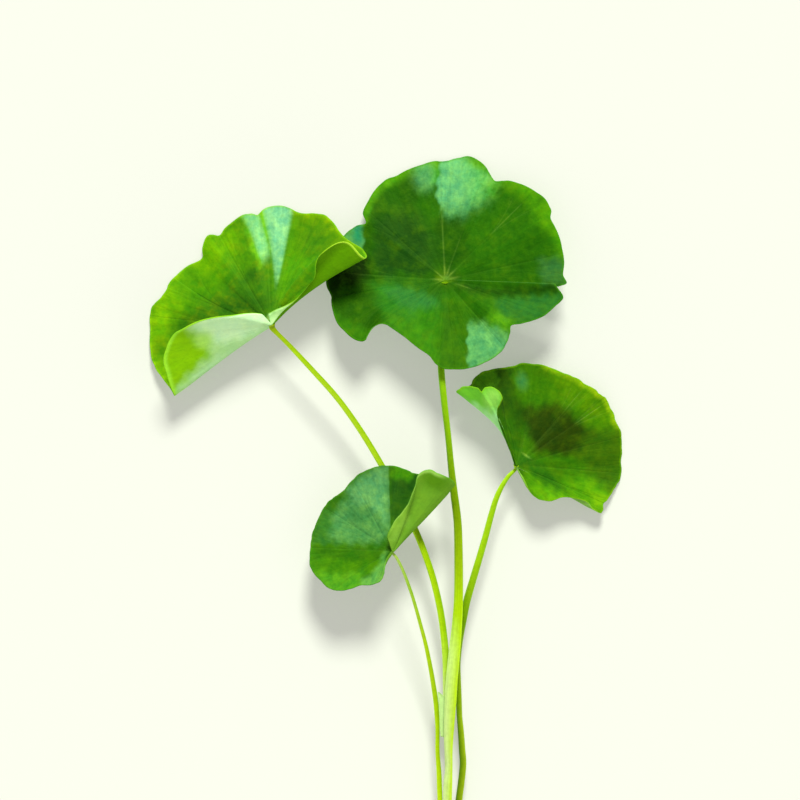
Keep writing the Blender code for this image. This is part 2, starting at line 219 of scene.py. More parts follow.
def blade_object(name, shape, upper_tint, under_tint):
    """Closes a blade's two sides and gives each point its tint and its place on the fan.

    The edge is a ring half way between the sides, pushed outwards by EDGE_ROUND of their distance. At the
    joint each side closes in a fan round one point.
    """
    rows, columns = shape["share"].shape
    count = rows * columns
    grid = np.arange(count).reshape(rows, columns)
    loop = np.concatenate([grid[:, 0], grid[-1, 1:], grid[-2::-1, -1]])
    inward = np.concatenate([grid[:, 1], grid[-2, 1:], grid[-2::-1, -2]])
    upper, under = shape["upper"].reshape(count, 3), shape["under"].reshape(count, 3)
    outward = unit(upper[loop] - upper[inward])
    gap = np.linalg.norm(upper[loop] - under[loop], axis=-1, keepdims=True)
    edge = (upper[loop] + under[loop]) / 2 + outward * gap * EDGE_ROUND
    centre = shape["joint"]
    depth = np.array((0, 0, BLADE_THICKNESS))
    points = np.vstack([upper, under, edge, [centre, centre - depth, centre - depth / 2]])
    hub = 2 * count + len(loop)
    rings = (
        np.concatenate([[hub], loop]),
        np.concatenate([[hub + 2], 2 * count + np.arange(len(loop))]),
        np.concatenate([[hub + 1], loop + count]),
    )
    top = np.stack([grid[:-1, :-1], grid[:-1, 1:], grid[1:, 1:], grid[1:, :-1]], axis=-1).reshape(-1, 4)
    walls = [np.stack([a, np.roll(a, -1), np.roll(b, -1), b], axis=-1) for a, b in zip(rings, rings[1:])]
    fans = np.vstack([
        np.stack([np.full(columns - 1, hub), grid[0, 1:], grid[0, :-1]], axis=-1),
        np.stack([np.full(columns - 1, hub + 1), grid[0, :-1] + count, grid[0, 1:] + count], axis=-1),
    ])
    faces = np.vstack([top, top[:, ::-1] + count, *walls]).tolist() + fans.tolist()

    def spread(values, at_centre):
        """The grid's values for every point of the mesh."""
        flat = values.reshape(count, -1)
        return np.vstack([flat, flat, flat[loop], np.repeat(np.atleast_2d(at_centre), 3, axis=0)])

    values = {label: spread(shape[label], 0) for label in ("reach", "bloom", "pale", "pitch")}
    values["turn"] = spread(shape["turn"], shape["turn"][0, 0])
    values["side"] = np.repeat([0, 1, 0.5, 0, 1, 0.5], [count, count, len(loop), 1, 1, 1])
    leaf = placed_mesh(name, points, faces, values)
    upper_tint, under_tint = upper_tint.reshape(count, 3), under_tint.reshape(count, 3)
    edge_tint = (0.65 * upper_tint + 0.35 * under_tint)[loop]
    tint = np.vstack([upper_tint, under_tint, edge_tint, np.repeat(upper_tint[:1], 3, axis=0)])
    tint = np.column_stack([tint, np.ones(len(tint))])
    colour = leaf.data.attributes.new("tint", "FLOAT_COLOR", "POINT")
    colour.data.foreach_set("color", tint.astype(np.float32).ravel())
    return leaf


def paint(code):
    """A colour as it looks on screen, such as 4FA810, as linear red, green and blue."""
    screen = np.array([int(code[at:at + 2], 16) for at in (0, 2, 4)]) / 255
    return np.where(screen <= 0.04045, screen / 12.92, ((screen + 0.055) / 1.055) ** 2.4)


def layered(shape, base, *layers):
    """A tint for each point: the base colour, and over it each layer's by its strength times its mask.

    A layer is a colour, its strength, its mask's function and what that takes after the shape.
    """
    tint = np.broadcast_to(paint(base), shape["upper"].shape)
    for code, strength, mask, *values in layers:
        tint = tint + (paint(code) - tint) * (strength * mask(shape, *values))[..., None]
    return tint


def spot(shape, centre, radii, turned=0, soft=0.9):
    """1 inside an oval on the drawing, easing to 0 over the outer part soft of its radius."""
    x = shape["upper"][..., 0] - centre[0]
    y = shape["upper"][..., 1] - centre[1]
    angle = np.radians(turned)
    along = x * np.cos(angle) + y * np.sin(angle)
    across = y * np.cos(angle) - x * np.sin(angle)
    return ease((1 - np.hypot(along / radii[0], across / radii[1])) / soft)


def area(shape, soft, *corners):
    """1 inside an outline on the drawing and 0 outside it, eased across its edge over the width soft.

    Slow sines first move the place a little, so that the edge wanders.
    """
    x, y = shape["upper"][..., 0], shape["upper"][..., 1]
    x, y = (
        x + 0.25 * np.sin(1.9 * y + 0.8 * x) + 0.10 * np.sin(4.7 * x - 2.9 * y),
        y + 0.25 * np.sin(2.3 * x - 0.6 * y) + 0.10 * np.sin(4.1 * y + 3.3 * x),
    )
    inside = np.zeros(x.shape, dtype=bool)
    nearest = np.full(x.shape, np.inf)
    for (ax, ay), (bx, by) in zip(corners, corners[1:] + corners[:1]):
        run, rise = bx - ax, by - ay
        along = np.clip(((x - ax) * run + (y - ay) * rise) / (run * run + rise * rise), 0, 1)
        nearest = np.minimum(nearest, np.hypot(x - ax - along * run, y - ay - along * rise))
        if rise:
            inside ^= ((ay > y) != (by > y)) & (x < ax + run * (y - ay) / rise)
    return ease(0.5 + np.where(inside, nearest, -nearest) / soft)


def stretch(shape, number, start, end):
    """1 along one vein, counted from 0, between two reaches."""
    on = np.floor(shape["turn"]) == number
    return on * ease((shape["reach"] - start) / 0.06) * ease((end - shape["reach"]) / 0.06)


def panel(shape, start, inner, outer, soft=0.006, end=1.1, fade=0.06):
    """1 between two rays: from the shares inner at the reach start to the shares outer at the rim."""
    v, u = shape["reach"], shape["share"]
    along = np.clip((v - start) / (1 - start), 0, 1)
    low = inner[0] + (outer[0] - inner[0]) * along
    high = inner[1] + (outer[1] - inner[1]) * along
    sides = ease((u - low) / soft + 0.5) * ease((high - u) / soft + 0.5)
    return sides * ease((v - start) / fade) * ease((end - v) / fade)


def rim_band(shape, inner, low=0, high=1, soft=0.03):
    """1 at the rim, easing to 0 at the reach inner, between two shares."""
    sides = ease((shape["share"] - low) / soft) * ease((high - shape["share"]) / soft)
    return ease((shape["reach"] - inner) / (1 - inner)) * sides


def new_material(name):
    """A material, its node tree and its surface."""
    material = bpy.data.materials.new(name)
    material.use_nodes = True
    return material, material.node_tree, material.node_tree.nodes["Principled BSDF"]


def feed(tree, sockets, values):
    """Links or sets sockets by their names or numbers. A colour may be given as its code."""
    for label, value in values.items():
        if isinstance(value, bpy.types.NodeSocket):
            tree.links.new(value, sockets[label])
        else:
            sockets[label].default_value = (*paint(value), 1) if isinstance(value, str) else value


def calc(tree, operation, *values):
    """A Math node's result."""
    node = tree.nodes.new("ShaderNodeMath")
    node.operation = operation
    feed(tree, node.inputs, dict(enumerate(values)))
    return node.outputs[0]


def product(tree, *values):
    """The values multiplied."""
    result = values[0]
    for value in values[1:]:
        result = calc(tree, "MULTIPLY", result, value)
    return result


def weighted(tree, start, *pairs):
    """The start plus each value times its weight."""
    result = start
    for value, weight in pairs:
        result = calc(tree, "MULTIPLY_ADD", value, weight, result)
    return result


def ramp(tree, value, low, high):
    """0 at low, 1 at high, and straight between."""
    straight = weighted(tree, -low / (high - low), (value, 1 / (high - low)))
    straight.node.use_clamp = True
    return straight


def mix(tree, factor, first, second):
    """The first colour moved towards the second by the factor."""
    node = tree.nodes.new("ShaderNodeMix")
    node.data_type = "RGBA"
    feed(tree, [socket for socket in node.inputs if socket.enabled], {0: factor, 1: first, 2: second})
    return [socket for socket in node.outputs if socket.enabled][0]


def filtered(tree, colour, factor):
    """A colour times a number or another colour."""
    node = tree.nodes.new("ShaderNodeVectorMath")
    node.operation = "MULTIPLY"
    feed(tree, node.inputs, {0: colour, 1: factor})
    return node.outputs[0]


def attribute(tree, name, output="Fac"):
    """One of the mesh's own attributes."""
    node = tree.nodes.new("ShaderNodeAttribute")
    node.attribute_name = name
    return node.outputs[output]


def noise(tree, scale, detail=3, roughness=0.55, shift=0):
    """Noise on Object coordinates from 0 to 1, shifted so that pieces differ."""
    place = tree.nodes.new("ShaderNodeTexCoord")
    moved = tree.nodes.new("ShaderNodeVectorMath")
    feed(tree, moved.inputs, {0: place.outputs["Object"], 1: (shift, shift * 0.7, 0)})
    node = tree.nodes.new("ShaderNodeTexNoise")
    values = {"Vector": moved.outputs[0], "Scale": scale, "Detail": detail, "Roughness": roughness}
    feed(tree, node.inputs, values)
    return node.outputs["Fac"]


def streaks(tree, turn, reach, across, along):
    """Noise drawn out along the rays: fine across them and slow towards the rim."""
    joined = tree.nodes.new("ShaderNodeCombineXYZ")
    feed(tree, joined.inputs, {0: product(tree, turn, across), 1: product(tree, reach, along)})
    node = tree.nodes.new("ShaderNodeTexNoise")
    feed(tree, node.inputs, {"Vector": joined.outputs[0], "Scale": 1, "Detail": 2})
    return node.outputs["Fac"]


def bumped(tree, surface, height, strength, distance):
    """Gives a surface its fine relief."""
    bump = tree.nodes.new("ShaderNodeBump")
    feed(tree, bump.inputs, {"Strength": strength, "Distance": distance, "Height": height})
    tree.links.new(bump.outputs["Normal"], surface.inputs["Normal"])


def vein_mask(tree, turn, reach, pitch):
    """The formula of veins as nodes, with the narrower and fainter lines of VEIN_COLOUR."""
    number = calc(tree, "FLOOR", turn)
    off = calc(tree, "ABSOLUTE", calc(tree, "SUBTRACT", calc(tree, "SUBTRACT", turn, number), 0.5))
    fork = weighted(tree, FORK_REACH, (calc(tree, "SINE", product(tree, number, FORK_STEP)), FORK_SWAY))
    past = calc(tree, "MAXIMUM", calc(tree, "SUBTRACT", reach, fork), 0)
    later = calc(tree, "MAXIMUM", calc(tree, "SUBTRACT", past, TWIG_AFTER), 0)
    spread = calc(tree, "DIVIDE", product(tree, past, BRANCH_SPREAD), calc(tree, "SUBTRACT", 1, fork))
    rest = calc(tree, "SUBTRACT", 1 - TWIG_AFTER, fork)
    second = calc(tree, "DIVIDE", product(tree, later, TWIG_SPREAD), rest)
    beside = calc(tree, "ABSOLUTE", calc(tree, "SUBTRACT", off, spread))
    beyond = calc(tree, "ABSOLUTE", calc(tree, "SUBTRACT", beside, second))
    result = 0
    lines = zip((off, beside, beyond), (-1, 0, TWIG_AFTER), VEIN_COLOUR)
    for distance, begins, (width, change, strength) in lines:
        wide = weighted(tree, width, (reach, change)) if change else width
        ratio = calc(tree, "DIVIDE", product(tree, distance, pitch), wide)
        bell = calc(tree, "EXPONENT", product(tree, ratio, ratio, -1))
        on = calc(tree, "GREATER_THAN", past, begins)
        result = calc(tree, "MAXIMUM", product(tree, bell, strength, on), result)
    return result


def leaf_skin(name, shift, vein_colour, painted_sheen_colour, spot_colour, margin_colour):
    """Waxy leaf: the tint with painted sheen in specks, browner freckles, veins that are pale or dark as
    the attribute pale is above or below 0, a light margin, and mottles and streaks over it all.
    """
    material, tree, surface = new_material(name)
    side, reach, turn, bloom, pale, pitch = (
        attribute(tree, label) for label in ("side", "reach", "turn", "bloom", "pale", "pitch")
    )
    vein = vein_mask(tree, turn, reach, pitch)
    broad = noise(tree, 130, 2, 0.5, shift)
    patchy = noise(tree, 270, 3, 0.65, shift + 0.5)
    middle = noise(tree, 520, 3, 0.6, shift + 0.2)
    fine = noise(tree, 1700, 2, 0.6, shift + 0.3)
    streak = streaks(tree, turn, reach, 13, 3)

    # Painted sheen: pale mint specks over the marked patches stand for the sky's reflection on the waxy
    # upper side.
    specks = ramp(tree, weighted(tree, -0.35, (fine, 0.24), (middle, 0.46), (bloom, 0.86)), 0, 1)
    painted_sheen_mask = product(tree, specks, calc(tree, "SUBTRACT", 1, side), ramp(tree, bloom, 0, 0.4))
    skin = mix(tree, painted_sheen_mask, attribute(tree, "tint", "Color"), painted_sheen_colour)
    freckle = product(tree, ramp(tree, patchy, 0.50, 0.66), weighted(tree, 0.40, (side, -0.35)))
    skin = mix(tree, product(tree, freckle, calc(tree, "SUBTRACT", 1, painted_sheen_mask)), skin, spot_colour)
    for sign, colour in ((1, vein_colour), (-1, DARK_VEIN)):
        shown = calc(tree, "MAXIMUM", product(tree, pale, sign), 0)
        skin = mix(tree, product(tree, vein, shown), skin, colour)
    skin = mix(tree, product(tree, ramp(tree, reach, 0.982, 0.996), 0.5), skin, margin_colour)

    contrast = weighted(tree, 3.2, (side, -2.6))
    warmth = weighted(tree, 0.5, (calc(tree, "SUBTRACT", middle, 0.5), contrast))
    skin = filtered(tree, skin, mix(tree, ramp(tree, warmth, 0, 1), COOL_HUE, WARM_HUE))
    mottle = weighted(tree, 0, (broad, 0.22), (patchy, 0.26), (middle, 0.44), (fine, 0.18), (streak, 0.34))
    shade = weighted(tree, product(tree, mottle, weighted(tree, 1, (side, -0.6))), (side, 0.71))
    feed(tree, surface.inputs, {
        "Base Color": filtered(tree, skin, shade),
        "Roughness": weighted(tree, LEAF_ROUGHNESS, (middle, 0.16), (side, 0.22)),
        "IOR": 1.42, "Specular IOR Level": 0.10, "Specular Tint": LEAF_SHEEN,
    })
    sunk = product(tree, vein, weighted(tree, -0.25, (side, 0.38)))
    relief = weighted(tree, sunk, (patchy, 1.1), (middle, 1), (fine, 0.3), (streak, 0.35))
    bumped(tree, surface, relief, 0.8, 0.00016)
    return material


def finish_piece(piece, material, node):
    """Dresses a piece and lets it stand for its solid."""
    piece.data.materials.append(material)
    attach(piece, "root")
    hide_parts(node)


left = blade(LEFT_JOINT, LEFT_RIM, LEFT_BOWS, LEFT_VEINS, ((-0.1, 0.2), (0.77, 1.1)), (0.16, 9, 0.4))
left_upper = layered(
    left, "4F9C08",
    ("4D940C", 1, area, 6, (-37, 54), (-30, 60), (-22, 60), (-22, 38), (-34, 38)),
    ("78BC0A", 0.9, rim_band, 0.62, 0.19, 0.52),
    ("8FD40C", 1, spot, (-47.6, 36.6), (2.6, 3.6)),
    ("4C980A", 1, spot, (-41, 43), (5.6, 4.6), 40),
    ("5C9C08", 1, spot, (-47.8, 29.8), (2.8, 3.4)),
    ("6EB606", 1, area, 4, (-40, 54), (-33, 54), (-33, 49), (-40, 46)),
    ("3F8010", 1, area, 4.5, (-46.4, 31), (-45.2, 34.6), (-42, 37.6), (-40, 39.6), (-36, 41.6),
        (-33, 44.6), (-28, 46), (-26, 43), (-25.6, 36), (-34, 34)),
    ("2F6810", 0.8, spot, (-31, 39), (9, 3.4), 4),
    ("336E10", 0.8, spot, (-29.2, 44.8), (3.4, 2.6), 10),
    ("74C81C", 1, area, 1.6, (-32, 58), (-28.6, 58), (-26.2, 60), (-26, 50), (-28, 46.6), (-30, 51)),
    ("9CD468", 1, spot, (-26, 36.2), (0.9, 1.5)),
    ("5F9C08", 1, area, 3.5, (-21.4, 60), (-12, 59), (-10, 50), (-20.6, 50)),
    ("4E900E", 1, spot, (-17.4, 51.6), (5, 5.6), 20),
    ("55A50E", 1, area, 3, (-23, 48), (-16, 48), (-16, 38), (-24, 37)),
    ("7AB406", 1, rim_band, 0.93, 0.6, 0.77),
)
# Painted sheen: two pale mint wedges between veins, the sky's reflection on the waxy skin.
left["bloom"] = np.maximum(
    panel(left, 0.20, (0.620, 0.634), (0.593, 0.635), 0.014, 1.5, 0.36) * (0.55 + 0.45 * left["reach"]),
    0.75 * panel(left, 0.46, (0.572, 0.612), (0.548, 0.580), 0.018, 1.5, 0.26),
)
left["pale"] -= 0.6 * stretch(left, 4, 0.30, 0.80)
folded = ease((0.25 - left["share"]) / 0.04)
curled = ease((left["share"] - 0.80) / 0.05)
left_under = layered(
    left, "82B648",
    ("5C9806", 1, panel, -0.2, (0.72, 1.1), (0.72, 1.1), 0.04),
    ("84C20A", 1, panel, -0.2, (-0.1, 0.24), (-0.1, 0.24), 0.02),
    ("CCF6BA", folded, area, 4.5, (-42.4, 35.4), (-40, 38.4), (-24, 39.8), (-24.5, 34.6), (-30, 31.6),
        (-34.6, 30.8), (-37, 30.4), (-39.4, 32.6)),
    ("D4FAC4", 0.7 * folded, spot, (-34, 34.6), (5, 2.6), 8),
    ("AEE85E", 0.8 * folded, spot, (-39.2, 32.2), (3.2, 2.8)),
    ("B0E09C", folded, area, 3, (-45.4, 20.6), (-43.4, 23.4), (-40.4, 26.6), (-36.6, 30), (-33, 31.4),
        (-25, 36), (-25, 33), (-34, 27)),
    ("A4EC3C", 1, rim_band, 0.95, -0.1, 0.2),
    ("C4FAA4", curled, area, 2, (-28, 36.4), (-26, 34), (-21, 37.4), (-17.6, 42.4), (-20, 42),
        (-24, 38.6)),
    ("D0EC50", 1, rim_band, 0.982, 0.76, 0.97),
    ("B8E868", 1, rim_band, 0.8, 0.88, 0.975, 0.02),
)
finish_piece(
    blade_object("left_leaf_blade", left, left_upper, left_under),
    leaf_skin("left leaf skin", 0, "9CC840", "94EAA6", "769406", "96DC18"), "leaf_left",
)

# The middle leaf's blade, the largest and the darkest, seen full face. Its basal lobes meet at the right,
# the lower one over the upper, and a star of pale veins marks the point where the petiole joins beneath.
CENTRE_JOINT = (9, 44, 5.2)
CENTRE_RIM = (
    (31, 43.1, 9.9), (32.5, 40.4, 10.2), (30.8, 38.7, 10.6), (29, 37.1, 11), (26.6, 36, 11.2),
    (24.4, 35.3, 11.3), (22.2, 34.8, 11.1), (21.9, 33.2, 11.5), (21.2, 31.4, 11.8), (20.1, 29.7, 12),
    (18.2, 28.3, 12.1), (16, 27.1, 12.1), (13, 26.2, 12), (9, 26.2, 11.8), (7.2, 27.2, 11.6),
    (5.8, 28.9, 11.3), (3.2, 30.8, 11), (0.8, 32.7, 10.7), (-1.8, 34.5, 10.2), (-3.6, 35.2, 9.8),
    (-5.4, 34.4, 9.9), (-6.5, 33, 10), (-7.3, 31.8, 10), (-8.9, 32.1, 9.5), (-10.8, 33.5, 8.7),
    (-12.4, 35.3, 7.7), (-13.4, 37.8, 6.5), (-13.7, 40, 5.5), (-13.7, 40.8, 5.1), (-14.5, 42.5, 4.5),
    (-14.7, 44.6, 3.9), (-14.2, 46.8, 3.4), (-13.2, 49.6, 3), (-11.8, 52, 2.7), (-10.2, 53.8, 2.6),
    (-8.6, 54.8, 2.6), (-6.8, 55.4, 2.9), (-7.4, 57.4, 2.4), (-6.5, 59.4, 1.9), (-5, 62, 1.3),
    (-2.8, 64, 0.9), (-1, 64.7, 0.9), (1, 65.7, 0.7), (4, 66.9, 0.6), (6.8, 67.7, 0.5), (8.8, 67.7, 0.6),
    (11, 68.2, 0.5), (13.4, 68.7, 0.5), (15.4, 68.1, 0.7), (17.2, 66.5, 1.3), (18.9, 63.8, 2.5),
    (21.4, 63.8, 2.8), (24, 63.2, 3.4), (26.8, 61.8, 4.2), (28.8, 60.2, 4.9), (30.1, 58, 5.5),
    (30.1, 56.1, 6.1), (31.2, 54, 6.5), (32.2, 50.8, 7.1), (32.6, 47.6, 7.7), (32.5, 45, 8.1),
    (33.2, 43.3, 8.4), (31.6, 42.6, 8.5),
)
CENTRE_BOWS = (
    (0, 0, 0, -0.6, 0, 0, -0.6), (0.25, 0, 0, -0.6, 0, 0, -0.6), (0.29, 0, 0, -0.4, 0, 0, -0.4),
    (0.315, 0, 0, -0.3, -0.2, 0.25, -0.3), (0.355, -0.3, 0.4, -0.2, -2.15, 2.9, -0.2),
    (0.368, -0.27, 0.36, -0.1, -2.05, 2.75, -0.1), (0.41, -0.1, 0.12, 0, -0.75, 1, 0),
    (0.46, 0, 0, 0.1, 0, 0, 0.1), (0.6, 0, 0, 0.3, 0, 0, 0.3), (1, 0, 0, -0.5, 0, 0, -0.5),
)
CENTRE_VEINS = (3, 8.5, 12.5, 18, 24, 30.5, 37.5, 44.5, 49, 53, 58.5)

centre = blade(CENTRE_JOINT, CENTRE_RIM, CENTRE_BOWS, CENTRE_VEINS, (), (0.14, 10, 1.1))
centre_upper = layered(
    centre, "2D6F08",
    ("56A81C", 0.9, area, 1.4, (-7.6, 57), (-5.6, 63), (0, 66.6), (0.4, 64.4), (-3.2, 62.6), (-6, 57)),
    ("256408", 1, area, 1.8, (-6.4, 57), (-4.2, 62), (0.4, 64), (1, 58), (-2, 55)),
    ("245A08", 0.9, area, 3, (6.4, 56), (13, 57), (14, 48), (9, 46), (6.4, 48)),
    ("245A08", 0.9, area, 2.6, (0, 66), (3.4, 66.6), (4.2, 63), (2.8, 58), (0.6, 57), (-0.6, 62)),
    ("225312", 0.95, area, 4, (-5, 57), (-1, 58.4), (4, 57), (6.6, 52), (7, 46), (3, 43), (-2, 42.6),
        (-6, 46)),
    ("1F5808", 0.6, area, 2.4, (-5.6, 61), (-1.4, 61.6), (-1, 56.6), (-4.6, 55.6)),
    # Painted shadow: the lower left lobe is darker, and darkest where the left leaf's curled right lobe
    # shades it.
    ("275F06", 1, area, 3, (-14.4, 48), (-6.8, 48), (-3, 43), (-2, 36), (-5, 33), (-7.6, 31), (-12, 35),
        (-14.5, 40)),
    ("132C07", 1, area, 3.4, (-15, 50), (-7, 50), (-5.6, 46.4), (-8, 43), (-14.5, 41)),
    ("3C8C10", 0.5, area, 2, (-12, 34), (-7.6, 31), (-5, 33.6), (-8.6, 35), (-12.6, 37)),
    # Painted sheen: greyish blue-green below the star, the sky's reflection on the waxy skin.
    ("30821C", 0.9, area, 3.4, (-5, 43), (0, 45), (6, 42.6), (9, 40), (8, 35), (3, 33.6), (-1.6, 35),
        (-4.4, 39)),
    ("34823A", 0.6, area, 2.6, (-3, 42), (2, 43.6), (7, 41), (7, 38.6), (2, 38), (-1, 39.6)),
    ("28660A", 0.85, area, 2.2, (-1, 46), (4, 44.6), (8, 43.4), (8.4, 40.2), (4.4, 41.6), (-1, 43)),
    ("418E10", 0.9, area, 2.6, (-2, 36), (3, 36.4), (7.2, 34), (8, 26.4), (5, 29), (1, 32.4)),
    ("307E0A", 0.9, area, 2.2, (3.4, 37.6), (8, 38), (8.4, 33), (4.6, 33.6)),
    ("347008", 0.9, area, 4, (8.4, 40), (13, 38), (13.4, 26), (8, 26)),
    ("48A41A", 0.9, area, 1.6, (6, 68), (8.4, 68), (8, 63.4), (6.2, 63.4)),
    ("58B010", 0.9, area, 2.6, (12, 69), (18, 67), (18.8, 61), (14, 59), (12, 64)),
    ("58A614", 0.9, area, 2.4, (18, 38), (22.4, 37), (21.6, 33.6), (17.4, 34.4)),
    # Painted light: the lower lobe's edge along the sinus, lit and bluish.
    ("2F7A2A", 0.9, area, 2.6, (19, 40.2), (26, 41), (32.4, 41.4), (33, 40), (29.6, 37), (24, 35.4),
        (20, 37)),
    # Painted shade: the upper lobe darker where it falls towards the sinus.
    ("286608", 0.8, area, 3, (14, 48), (27, 49), (32, 47), (32, 43), (14, 44)),
    ("3F7E34", 0.9, area, 2.4, (27.6, 48), (33, 48.6), (33.4, 43), (28.6, 42.8)),
    ("4F9808", 0.9, area, 3.4, (23, 65), (32, 61), (32, 53), (27.6, 55), (25, 60), (22, 62)),
    # Painted shade: the dark valley of the sinus.
    ("1D4E08", 0.95, area, 2, (11, 43.6), (18, 42.2), (24, 42.6), (32, 43.2), (32, 41.8), (24, 40.6),
        (17, 41), (12, 42)),
    ("66BA22", 0.9, area, 1.8, (15, 67), (18.4, 65), (19.6, 62.4), (17.4, 62.6), (15.4, 65.6)),
    ("56A40C", 0.8, rim_band, 0.9, 0.5, 0.96),
    ("1C4E10", 1, spot, (1, 51), (5.4, 5)),
    # Painted sheen: pale blue-green over the left lobe's tip, the sky's reflection on the waxy skin.
    ("60B05A", 1, area, 0.8, (-15, 48.4), (-13.4, 52.8), (-10.4, 56), (-7.6, 57), (-7.6, 55.2),
        (-7.2, 49.8), (-9, 50.4), (-11.6, 50.6)),
    ("2CA468", 1, spot, (-8.4, 53.2), (1.8, 3.2)),
    ("2A6608", 1, area, 0.8, (-7.3, 55.4), (-5.8, 55.8), (-5.4, 49), (-7, 49)),
    ("2C6209", 0.8, spot, (9.4, 44.4), (4, 3.4), 0, 0.7),
    ("6E9C10", 0.8, spot, (8.9, 44.2), (2.4, 1), -12, 0.8),
)
# Painted sheen: pale mint patches at the top and on the lower right lobe, the sky's reflection on the waxy
# skin.
centre["bloom"] = np.maximum(
    area(centre, 7.5, (2, 70.6), (10.2, 72), (16, 69.4), (19, 64.4), (17.4, 59.6), (13, 57.6), (2, 58))
    * area(centre, 1.4, (8.8, 72), (24, 72), (24, 52), (9.6, 52), (8.2, 58), (7.2, 61.4), (7.8, 65.4))
    * (1 - 0.7 * spot(centre, (15.6, 67.6), (5, 2.4), -24))
    * (1 - 0.45 * ease((centre["upper"][..., 0] - 10.5) / 7)),
    0.68 * area(centre, 4.4, (10, 34.4), (16, 35.4), (19.6, 34.2), (23, 31.4), (22, 27), (18, 25), (10, 24))
    * area(centre, 0.9, (13.4, 37), (24, 37), (24, 24), (13.4, 24)),
)
centre["bloom"] = np.maximum(centre["bloom"], 0.55 * spot(centre, (4.8, 65), (4.4, 6), 10))
centre["pale"] *= 0.6
centre["pale"] += (
    0.36 * ease((0.15 - centre["reach"]) / 0.10) * ease((centre["share"] - 0.38) / 0.04)
    + 0.16 * stretch(centre, 7, 0.05, 0.58) + 0.06 * stretch(centre, 8, 0.08, 0.40)
    + 0.16 * stretch(centre, 9, 0.50, 0.88) + 0.16 * stretch(centre, 0, 0.08, 0.28)
)
finish_piece(
    blade_object("centre_leaf_blade", centre, centre_upper, layered(centre, "7FB85A")),
    leaf_skin("centre leaf skin", 1, "92C048", "74D080", "447608", "4A9808"), "leaf_centre",
)

# The right leaf's blade, olive to yellow-green with a brownish heart, made darker by painted shade in its
# dished middle, and a pointed lobe towards the crown. Its left basal lobe is folded over so that the light
# green underside shows.
RIGHT_JOINT = (23.2, 7, 7)
RIGHT_RIM = (
    (22.7, 8.8, 7.8), (21.8, 11.4, 8.9), (20.9, 13.4, 10), (20.2, 14.8, 11.2), (19.5, 16.4, 12.4),
    (19.3, 18, 13.2), (19.8, 19.3, 13.7), (20.3, 20.5, 13.9), (19.7, 21.9, 13.8), (18.3, 22.7, 13.4),
    (17, 22.5, 12.9), (16.2, 21.6, 12.5), (15.4, 22.3, 12.2), (14, 22.7, 11.4), (12.6, 22.7, 10.4),
    (11.7, 22.1, 9.4), (11.4, 21.7, 8.6), (12.6, 22.2, 7.6), (14.1, 23, 6.7), (14.6, 24, 6.1),
    (16, 25.3, 5.5), (18, 26, 5), (21, 26.5, 4.4), (22.8, 26.8, 4.1), (24.2, 27.3, 3.8), (26.2, 27.2, 3.6),
    (28.2, 27, 3.4), (30.2, 26.4, 3.2), (32.6, 25.4, 3), (34.2, 24.8, 2.9), (35.8, 24, 2.8),
    (37.2, 23, 2.7), (38.9, 22.2, 2.5), (39.8, 21.2, 2.4), (41.2, 20.2, 2.1), (42, 18.5, 1.8),
    (42.7, 17.2, 1.5), (43.2, 15.4, 1.2), (44.1, 13.8, 0.9), (44.3, 11.4, 0.6), (44.3, 9, 0.5),
    (44.1, 7.9, 0.5), (44.3, 6.3, 0.5), (44, 4.3, 0.7), (43.1, 2.8, 1.1), (42.3, 1.4, 1.6), (41.4, 0, 2.2),
    (40.7, -0.6, 2.6), (40.5, -2, 3.1), (40, -2.5, 3.4), (38.5, -1.7, 4), (37.4, -0.4, 4.6),
    (35, 0.4, 5.6), (32.4, 0.6, 6.4), (30.2, -0.1, 7), (27.8, 0.3, 7.4), (26.1, 1.6, 7.5),
    (24.9, 3.6, 7.3), (23.9, 5.6, 7.1),
)
RIGHT_BOWS = (
    (0, 0, 0, 0, 0, 0, 0), (0.05, -0.2, 0, 0, -0.2, 0, 0), (0.14, -0.2, 0, 0, -0.5, 0.2, 0),
    (0.2, 0.6, 0.2, -0.2, 1.4, -0.5, -0.3), (0.276, 2, 0.5, -0.3, 4, -1.2, -0.8),
    (0.293, 2, 0.5, -0.4, 3.8, -1.1, -0.9), (0.33, 1.8, 0.4, -0.8, 3, -0.8, -1),
    (0.4, 1, 0.3, -1.1, 1.2, 0, -1.1), (0.55, 0.2, 0.2, -1.3, 0.2, 0.2, -1.3), (0.85, 0, 0, -1, 0, 0, -1),
    (1, 0, 0, 0, 0, 0, 0),
)
RIGHT_VEINS = (3, 8.5, 13.5, 19.5, 25, 31, 34.3, 38.5, 42.5, 47, 51.5, 55.5)

